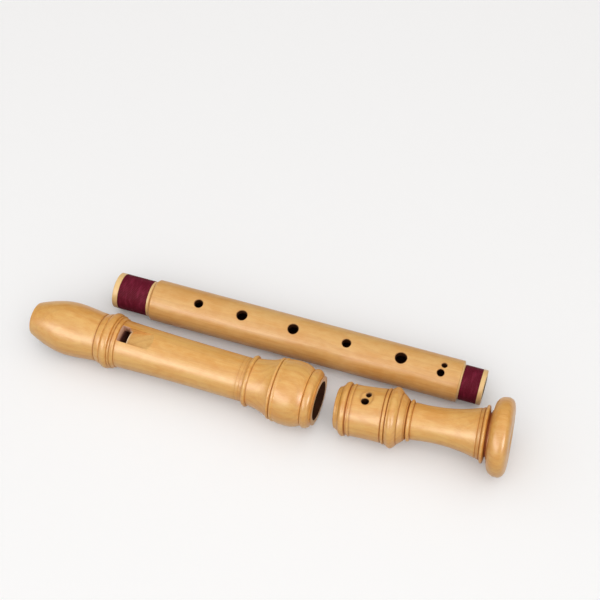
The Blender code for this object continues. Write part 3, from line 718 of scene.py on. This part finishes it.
def makeBlock():
    radius = head["bore"] - block["gap"]
    end = head["windowAt"]
    corners = [(0.0, 0.01, 0.0), (0.0, radius, 0.0), (end, radius, 0.0), (end, 0.01, 0.0)]
    outline = softened(corners, block["soft"])
    body = spun("block_fine", outline, [])
    bow = head["windwayBow"]
    floorIn = head["roofIn"] - block["heightIn"]
    floorOut = head["roofOut"] - block["heightOut"]
    chamfer = block["chamfer"]
    top = [
        archSection(-past, floorIn, bow, radius, clear),
        archSection(end - chamfer, floorOut, bow, radius, clear),
        archSection(end + chamfer, floorOut - 2 * chamfer, bow, radius, clear),
    ]
    cutters = [beakCutter(1), lofted("block_top_cutter", top, 1)]
    piece = carved("block_fine", body, cutters, [cedarWood, cedarWood])
    dressed(piece, outline, darkened=lambda x, y, z, depth: block["endDarker"] * (x > end - 0.3))
    return laid(piece, head, "block", "block")


makeBlock()
print("block made")


# Holes with a rounded rim, as they feel under a finger

holeWall = 1.2  # how far down its wall a hole is still paler than the bore's painted shade
holeEnd = 3.0  # how far from the axis a drill stops, inside every bore


def drill(name, skin, along, turn, diameter, rim=0.42, steps=36, dish=None):
    # skin gives the section's radius, rim is the radius of the rounding, dish a hollow round it
    axis = Vector((0.0, -math.sin(math.radians(turn)), math.cos(math.radians(turn))))
    side = Vector((0.0, math.cos(math.radians(turn)), math.sin(math.radians(turn))))
    half = diameter / 2

    def ring(reach, sink):
        points = []
        for i in range(steps):
            a = 2 * math.pi * i / steps
            u, v = reach * math.cos(a), reach * math.sin(a)
            spot = side * v + axis * math.sqrt(skin(along + u) ** 2 - v * v)
            hollow = float(dish(along + u, spot.y, spot.z)) if dish else 0.0
            points.append(Vector((along + u, 0, 0)) + spot - axis * (sink + hollow))
        return points

    deep = []
    for i in range(steps):
        a = 2 * math.pi * i / steps
        spot = Vector((along + half * math.cos(a), 0, 0)) + side * half * math.sin(a)
        deep.append(spot + axis * holeEnd)
    rings = [deep, ring(half, holeWall)]
    # round the rim, nearly level with the skin at the last, then up and clear of it
    roundSteps, lastAngle = 6, 80
    for k in range(roundSteps + 1):
        a = math.radians(lastAngle * k / roundSteps)
        rings.append(ring(half + rim * (1 - math.cos(a)), rim * (1 - math.sin(a))))
    rings.append(ring(half + rim * 0.9, -0.6))
    return lofted(name, rings, 1)


def holeWallShade(depth):
    # painted shade: a hole's rounded rim is nearly as pale as the skin, and its wall darkens on the
    # way in
    return np.clip(1 - depth / holeWall, 0.0, 1.0)


# Middle joint

middle = {
    "start": (-113.11, 24.88, 13.16),
    "yaw": 0.2,
    "pitch": -0.0577,
    "roll": 12.5,
    "tube": 199.4,
    "top": 13.2,  # the tube's radius at its upper and its lower end
    "bottom": 13.0,
    "upperTenon": 26.4,
    "upperRadius": 11.4,
    "upperLapping": (3.6, 23.1),  # where its groove begins and ends
    "lowerTenon": 14.7,
    "lowerRadius": 11.0,
    "lowerLapping": (226.5, 237.7),
    "lappingDepth": 1.35,
    "boreTop": 8.8,
    "boreBottom": 7.3,
    "tipChamfer": 0.4,
    "lineBefore": 1.8,  # from the upper shoulder back to the line
    "upperChamfer": 1.1,
    "lowerChamfer": 0.5,
    "soft": 0.22,
    "tenonPale": 0.75,  # the tenons have seen less oil than the tube
    "holes": {  # distance along, diameter, turn
        "first": (56.7, 5.6, 0.0),
        "second": (85.4, 6.8, 0.0),
        "third": (118.9, 6.8, 0.0),
        "fourth": (153.3, 5.6, 0.0),
        "fifth": (187.9, 7.3, 0.0),
        "sixthSmall": (214.4, 3.5, -12.0),
        "sixthLarge": (213.4, 4.5, 12.0),
        "thumb": (41.9, 5.8, 180.0),
    },
}


def middleSkin(x):
    share = (x - middle["upperTenon"]) / middle["tube"]
    return middle["top"] + (middle["bottom"] - middle["top"]) * share


def makeMiddle():
    shoulder = middle["upperTenon"]
    lowerShoulder = shoulder + middle["tube"]
    end = lowerShoulder + middle["lowerTenon"]
    upper, lower, depth = middle["upperRadius"], middle["lowerRadius"], middle["lappingDepth"]
    top, bottom = middle["top"], middle["bottom"]
    tip, slope, edge = middle["tipChamfer"], middle["upperChamfer"], middle["lowerChamfer"]
    t = Turning(0.0, middle["boreTop"])
    # upper tenon, with the groove for its lapping
    t.cut(0.0, upper - tip)
    t.cut(tip, upper)
    t.cut(middle["upperLapping"][0], upper)
    t.cut(middle["upperLapping"][0], upper - depth)
    t.cut(middle["upperLapping"][1], upper - depth)
    t.cut(middle["upperLapping"][1], upper)
    t.cut(shoulder - middle["lineBefore"], upper)
    t.line()
    # the tube between its shoulders
    t.cut(shoulder - slope, top - slope)
    t.cut(shoulder, top)
    t.cut(lowerShoulder - edge, bottom)
    t.cut(lowerShoulder, bottom - edge)
    # lower tenon
    t.cut(lowerShoulder, lower)
    t.cut(middle["lowerLapping"][0], lower)
    t.cut(middle["lowerLapping"][0], lower - depth)
    t.cut(middle["lowerLapping"][1], lower - depth)
    t.cut(middle["lowerLapping"][1], lower)
    t.cut(end - tip, lower)
    t.cut(end, lower - tip)
    t.cut(end, middle["boreBottom"])
    outline = divided(softened(t.points, middle["soft"]), 4.0)
    inside = [(end - 0.01, middle["boreBottom"], 0.0), (0.01, middle["boreTop"], 0.0)]
    body = spun("middle_joint_fine", outline, divided(inside, 12.0))
    drills = [
        drill(name + "_drill", middleSkin, along, turn, diameter)
        for name, (along, diameter, turn) in middle["holes"].items()
    ]
    piece = carved("middle_joint_fine", body, drills, [paleWood, boreShadeWood])

    def tenons(x, y, z, depth):
        return middle["tenonPale"] * ((x < shoulder - 1.5) | (x > lowerShoulder - 0.2))

    # the holes' walls fade into painted shade
    dressed(piece, outline, tenons, lambda x, y, z, depth: holeWallShade(depth))
    return laid(piece, middle, "middle", "middle_joint")


middlePiece = makeMiddle()
print("middle joint made:", len(middlePiece.data.polygons), "faces")


# Foot joint

foot = {
    "start": (47.04, -17.37, 15.94),
    "yaw": 3.5,
    "pitch": 4.3989,
    "roll": -2.5,
    "length": 104.2,
    "socket": 11.2,
    "socketDepth": 15.2,
    "boreTop": 7.2,
    "boreEnd": 6.3,
    "mouthFlare": 1.6,
    "plain": (10.9, 28.8),  # the smooth stretch that the holes are drilled in
    "bellGroup": 17.0,  # length of the bell with the rings before it
    "bellLength": 12.0,
    "bellWall": (8.3, 17.3, 9.6),  # over the bore where it begins, at its widest and at the end
    "soft": 0.16,
    "atHoles": 15.8,  # radius
    "dish": (18.6, 4.1, 5.2, 0.95),  # along, half length, half width, depth
    "dishShade": (0.40, 0.93, 0.15, 1.5),  # painted shade: how dark, where in the dish, how wide, how deep
    "rim": 0.35,
    "holeSides": 32,
    "holes": {  # distance along, diameter, turn
        "small": (19.2, 3.3, -9.5),
        "large": (18.0, 4.6, 9.5),
    },
}


def footBore(x):
    share = (x - foot["socketDepth"]) / (foot["length"] - foot["socketDepth"])
    return foot["boreTop"] + (foot["boreEnd"] - foot["boreTop"]) * share


def footOutline():
    socket = foot["socket"]
    t = Turning(0.0, socket + 0.5)
    # the lip round the socket, a bead and a small one
    t.cut(0.0, socket + 1.0)
    t.cut(0.5, socket + 1.5)
    t.curve(3.3, socket + 3.1, 0.2, 0.6, 6)
    t.stainAndShadeHere(0.5)
    t.bead(3.8, 1.5, socket + 4.3, 14)
    t.line(socket + 4.2, width=0.9, stainAndShade=1.0)
    t.cut(8.7, socket + 4.2, 0.3)
    t.bead(1.5, 0.5, steps=8)
    t.stainAndShadeHere(0.6)
    # the smooth stretch, and the swell with its small bead
    t.cut(foot["plain"][0], socket + 4.3, 0.2)
    t.curve(foot["plain"][1], socket + 5.1, 0.02, 0.10, 30)
    t.line(stainAndShade=0.9)
    t.bead(1.8, 0.6, steps=8)
    t.line(socket + 5.9, stainAndShade=0.9)
    t.cut(32.6, socket + 5.9)
    t.curve(35.0, socket + 7.2, 1.3, 0.0, 8)
    t.curve(38.3, socket + 4.7, 0.0, -1.25, 10)
    # the steps down to the waist
    t.line(socket + 4.1, width=0.5, depth=0.3, stainAndShade=0.6)
    t.curve(42.1, footBore(43.3) + 5.7, -0.65, -0.9, 8)
    t.line(footBore(43.3) + 5.4, width=0.4, depth=0.15, stainAndShade=0.6)
    t.cut(42.9, footBore(43.3) + 4.9, 0.5)
    t.line(footBore(43.3) + 4.5, width=0.8, depth=0.7, stainAndShade=1.0)
    t.bead(2.2, 1.3, footBore(46.8) + 4.3)
    t.line()
    # the waist, and the flare up to the bell's rings
    t.curve(56.5, footBore(56.5) + 4.0, -0.08, 0.0, 10)
    group = foot["length"] - foot["bellGroup"]
    flareEnd, slope, rest = footBore(group) + 9.2, 0.33, 2.2
    t.curve(group - rest, flareEnd - slope * rest, 0.0, slope, 26)
    t.line()
    t.cut(group, flareEnd)
    t.line(stainAndShade=0.9)
    t.bead(2.2, 1.7)
    # a deep narrow groove, then the bell
    mouth = foot["boreEnd"]
    begins, widest, ends = foot["bellWall"]
    t.cut(t.at() + 0.35, mouth + 6.9, 1.0)
    t.cut(t.at() + 1.0, mouth + 6.9, 1.0)
    t.cut(t.at(), mouth + begins, 0.75)
    t.cut(foot["length"] - foot["bellLength"], mouth + begins, 0.55)
    t.bead(foot["bellLength"], widest - (begins + ends) / 2, mouth + ends, 36, 1.22)
    t.cut(foot["length"], mouth + foot["mouthFlare"])
    return t.points


def fromDish(x, y, z):
    # 0 in the middle and 1 at the edge of the shallow hollow that both small holes sit in
    along, halfLength, halfWidth, _ = foot["dish"]
    across = np.arctan2(y, z) * foot["atHoles"]
    return np.hypot((x - along) / halfLength, across / halfWidth)


def footDish(x, y, z):
    return foot["dish"][3] * np.clip(1 - fromDish(x, y, z) ** 2, 0.0, 1.0)


def footDishShade(x, y, z, depth):
    # painted shade: a soft dark ring along the dish's edge
    dark, where, wide, deep = foot["dishShade"]
    return dark * np.exp(-(((fromDish(x, y, z) - where) / wide) ** 2)) * (depth < deep)


def footSqueeze(x, radius, turn):
    return radius - float(footDish(x, math.sin(turn), math.cos(turn)))


def makeFoot():
    outline = divided(softened(footOutline(), foot["soft"]), 2.0)
    first, last = foot["plain"]
    xs, rs = zip(*(p[:2] for p in outline if first <= p[0] <= last))
    length, socket, deep = foot["length"], foot["socket"], foot["socketDepth"]
    inside = [
        (length - foot["mouthFlare"] * 0.35, foot["boreEnd"] + foot["mouthFlare"] * 0.3, 0.0),
        (length - foot["mouthFlare"], foot["boreEnd"], 0.0),
        (deep, foot["boreTop"], 0.0),
        (deep, socket, 0.0),
        (0.5, socket, 0.0),
    ]
    body = spun("foot_joint_fine", outline, inside, footSqueeze)

    def skin(x):
        return float(np.interp(x, xs, rs))

    drills = [
        drill(name + "_drill", skin, along, turn, diameter, foot["rim"], foot["holeSides"], footDish)
        for name, (along, diameter, turn) in foot["holes"].items()
    ]
    piece = carved("foot_joint_fine", body, drills, [honeyWood, boreShadeWood])

    # the holes' walls fade into painted shade below the dish
    def rims(x, y, z, depth):
        return holeWallShade(depth - footDish(x, y, z))

    dressed(piece, outline, rim=rims, darkened=footDishShade)
    return laid(piece, foot, "foot", "foot_joint")


footPiece = makeFoot()
print("foot joint made:", len(footPiece.data.polygons), "faces")


# Thread lappings

lapping = {
    "colour": (0.20, 0.010, 0.032),
    "shade": (0.10, 0.004, 0.014),
    "sheen": (0.34, 0.035, 0.080),
    "thread": 0.20,  # radius
    "pitch": 0.37,
    "twist": 0.95,  # the length of thread in which a ply goes once round it
    "spread": 0.035,  # how far a turn strays to a side, and how far it sinks in
    "sink": 0.05,
    "layerDrop": 0.16,  # how far the first layer lies under the second
    "endGap": 0.02,  # from the groove's ends to the thread
    "sides": 7,
    "perTurn": 60,
    "seed": 7,
    "coreGap": 0.05,
    "coreDrop": 0.2,  # how far the core's surface lies under the middle of the last layer
    "coreDepth": 1.0,
    "coreSides": 96,
}


def makeThreadMaterial():
    thread = Recipe(bpy.data.materials.new("waxed_burgundy_thread"), Specular_IOR_Level=0.12)
    place = thread.own("billet", "Vector")
    # plies run slantwise round the thread
    run = thread.own("run") * (2 * math.pi / lapping["twist"])
    plies = run.calc("SINE") * thread.own("sideCos") + run.calc("COSINE") * thread.own("sideSin")
    patch = thread.noise(place, (0.5, 0.16, 0.16), 2.0)
    fuzz = thread.noise(place, (9.0, 9.0, 9.0), 2.0)
    base = thread.mix(thread.step(plies, -0.9, 0.6), lapping["shade"], lapping["colour"])
    base = thread.mix(0.45 * thread.step(patch, 0.45, 0.75), base, lapping["sheen"])
    base = thread.mix(0.25 * thread.step(fuzz, 0.55, 0.8), base, lapping["sheen"])
    thread.feed("Base Color", base)
    thread.feed("Roughness", 0.62 + 0.2 * (fuzz - 0.5))
    thread.bump(0.7 * plies + 0.5 * fuzz, 0.5, 0.05)
    return thread.owner


threadMaterial = makeThreadMaterial()


def threadPath(start, end, turns, outer):
    # one layer to the far end and one back over it, all one thread
    chance = random.Random(lapping["seed"])
    size, perTurn = lapping["thread"], lapping["perTurn"]
    shift = [chance.uniform(-1, 1) * lapping["spread"] for _ in range(turns + 3)]
    lift = [chance.uniform(-1, 0) * lapping["sink"] for _ in range(turns + 3)]
    layers = [(start, end, outer - size - lapping["layerDrop"]), (end, start, outer - size)]
    steps = turns * perTurn
    spots = []
    for layer, (begin, finish, radius) in enumerate(layers):
        for i in range(steps + 1):
            t = i / steps
            k = int(t * turns)
            part = t * turns - k
            wobble = shift[k] * (1 - part) + shift[k + 1] * part
            drop = lift[k] * (1 - part) + lift[k + 1] * part
            fade = min(1.0, 6 * t, 6 * (1 - t))  # no wobble at the layer's ends
            a = 2 * math.pi * (layer * steps + i) / perTurn
            r = radius + drop * fade
            along = begin + (finish - begin) * t + wobble * fade
            spots.append(Vector((along, r * math.sin(a), r * math.cos(a))))
    return spots


def makeLapping(name, node, bounds, outer):
    size, sides = lapping["thread"], lapping["sides"]
    start = bounds[0] + size + lapping["endGap"]
    end = bounds[1] - size - lapping["endGap"]
    turns = round((end - start) / lapping["pitch"])
    spots = threadPath(start, end, turns, outer)
    run = 0.0  # how much thread there is up to a spot
    verts, faces, runs, cosines, sines = [], [], [], [], []
    for i, spot in enumerate(spots):
        ahead = (spots[min(i + 1, len(spots) - 1)] - spots[max(i - 1, 0)]).normalized()
        out = Vector((0.0, spot.y, spot.z)).normalized()
        side = ahead.cross(out).normalized()
        if i:
            run += (spot - spots[i - 1]).length
        for k in range(sides):
            a = 2 * math.pi * k / sides
            verts.append(tuple((spot + size * (out * math.cos(a) + side * math.sin(a))) * mm))
            runs.append(run)
            cosines.append(math.cos(a))
            sines.append(math.sin(a))
    for i in range(len(spots) - 1):
        for k in range(sides):
            j = (k + 1) % sides
            faces.append((i * sides + k, i * sides + j, (i + 1) * sides + j, (i + 1) * sides + k))
    faces += [tuple(range(sides))[::-1], tuple(range(len(verts) - sides, len(verts)))]
    # the core ring that closes the gaps between the turns
    base = len(verts)
    left, right = bounds[0] + lapping["coreGap"], bounds[1] - lapping["coreGap"]
    low, high = outer - lapping["coreDepth"], outer - size - lapping["coreDrop"]
    core = [(left, low), (left, high), (right, high), (right, low)]
    ringCount = lapping["coreSides"]
    for k in range(ringCount):
        a = 2 * math.pi * k / ringCount
        for x, r in core:
            verts.append((x * mm, r * math.sin(a) * mm, r * math.cos(a) * mm))
            runs.append(0.0)
            cosines.append(1.0)
            sines.append(0.0)
    for k in range(ringCount):
        a, b = base + 4 * k, base + 4 * ((k + 1) % ringCount)
        faces += [(a + i, b + i, b + (i + 1) % 4, a + (i + 1) % 4) for i in range(4)]
    mesh = bpy.data.meshes.new(name)
    mesh.from_pydata(verts, [], faces)
    outward(mesh)
    mesh.materials.append(threadMaterial)
    mesh.polygons.foreach_set("use_smooth", [True] * len(mesh.polygons))
    for key, values in (("run", runs), ("sideCos", cosines), ("sideSin", sines)):
        mesh.attributes.new(key, "FLOAT", "POINT").data.foreach_set("value", values)
    piece = bpy.data.objects.new(name, mesh)
    bpy.context.scene.collection.objects.link(piece)
    laid(piece, middle, "middle", node)
    print(name, "made:", 2 * turns, "turns,", round(run / 1000, 2), "m of thread")


for end in ("upper", "lower"):
    bounds, radius = middle[end + "Lapping"], middle[end + "Radius"]
    makeLapping(end + "_lapping_fine", end + "_thread_lapping", bounds, radius)


# Floor, lights and camera

studio = {
    "floorReach": 12.0,  # metres from the middle to each edge
    "floorBelow": 0.12,  # millimetres
    "floor": (0.92, 0.92, 0.92),
    "floorGlow": (0.08, 0.08, 0.08),
    "floorToWood": (0.07, 0.036, 0.014),
    "camera": (0.1557, -0.41712, 0.67934),
    "azimuth": 18.30,
    "elevation": 53.34,
    "lens": 78.0,
    "sensor": 36.0,
    "clip": (0.01, 50.0),
    "brightSide": (0.09, -0.33, 0.94),  # where the tent round the table glows most
    "tentFade": (-0.2, 0.95),  # where it is dim and where it is bright, by how far it faces there
    "tentBright": (0.95, 0.95, 0.95),
    "tentDim": (0.15, 0.11, 0.08),
    "lamps": {  # place, aimed at, size across and up, watts, whether it is only mirrored
        "key": ((0.2, -0.75, 1.15), (0.0, 0.0, 0.0), 1.4, 1.3, 5.0, False),
        "leftBox": ((-0.62, -0.95, 0.58), (0.0, 0.0, 0.02), 1.50, 0.56, 15.5, True),
        "rightBox": ((1.05, -0.58, 0.56), (0.0, 0.0, 0.02), 0.55, 0.58, 11.5, True),
    },
}


def makeStudio():
    mesh = bpy.data.meshes.new("floor")
    reach, under = studio["floorReach"], -studio["floorBelow"] * mm
    corners = [(-reach, -reach), (reach, -reach), (reach, reach), (-reach, reach)]
    mesh.from_pydata([(x, y, under) for x, y in corners], [], [(0, 1, 2, 3)])
    floor = bpy.data.objects.new("floor", mesh)
    bpy.context.scene.collection.objects.link(floor)
    paint = Recipe(bpy.data.materials.new("pale_floor"), Roughness=0.85)
    # pale where it is seen or mirrored, quieter in what it throws back up at the wood
    seen = paint.node("LightPath", out="Is Camera Ray")
    for ray in ("Is Glossy Ray", "Is Transmission Ray"):
        seen = seen.calc("MAXIMUM", paint.node("LightPath", out=ray))
    paint.feed("Base Color", paint.mix(seen, studio["floorToWood"], studio["floor"]))
    paint.feed("Emission Color", paint.mix(seen, (0.0, 0.0, 0.0), studio["floorGlow"]))
    paint.surface.inputs["Emission Strength"].default_value = 1.0
    mesh.materials.append(paint.owner)
    for name, (place, aim, wide, high, watts, mirroredOnly) in studio["lamps"].items():
        lamp = bpy.data.lights.new(name + "_lamp", "AREA")
        lamp.shape = "RECTANGLE"
        lamp.size, lamp.size_y = wide, high
        lamp.energy = watts
        holder = bpy.data.objects.new(name + "_lamp", lamp)
        holder.location = place
        holder.rotation_euler = (Vector(aim) - Vector(place)).to_track_quat("-Z", "Y").to_euler()
        holder.visible_diffuse = not mirroredOnly
        bpy.context.scene.collection.objects.link(holder)
    tent = Recipe(bpy.data.worlds.new("studio_tent"), "Background", Strength=1.0)
    bpy.context.scene.world = tent.owner
    toward = tent.node("TexCoord", out="Generated")
    both = (toward, studio["brightSide"])
    facing = tent.node("VectorMath", {"operation": "DOT_PRODUCT"}, both, out="Value")
    glow = tent.step(facing, *studio["tentFade"])
    tent.feed("Color", tent.mix(glow, studio["tentDim"], studio["tentBright"]))
    lens = bpy.data.cameras.new("camera")
    lens.lens, lens.sensor_width = studio["lens"], studio["sensor"]
    lens.clip_start, lens.clip_end = studio["clip"]
    camera = bpy.data.objects.new("camera", lens)
    az, el = math.radians(studio["azimuth"]), math.radians(studio["elevation"])
    back = Vector((math.sin(az) * math.cos(el), -math.cos(az) * math.cos(el), math.sin(el)))
    camera.location = studio["camera"]
    camera.rotation_euler = (-back).to_track_quat("-Z", "Y").to_euler()
    bpy.context.scene.collection.objects.link(camera)
    bpy.context.scene.camera = camera
    bpy.context.scene.view_settings.view_transform = "Standard"


makeStudio()
print("studio made")
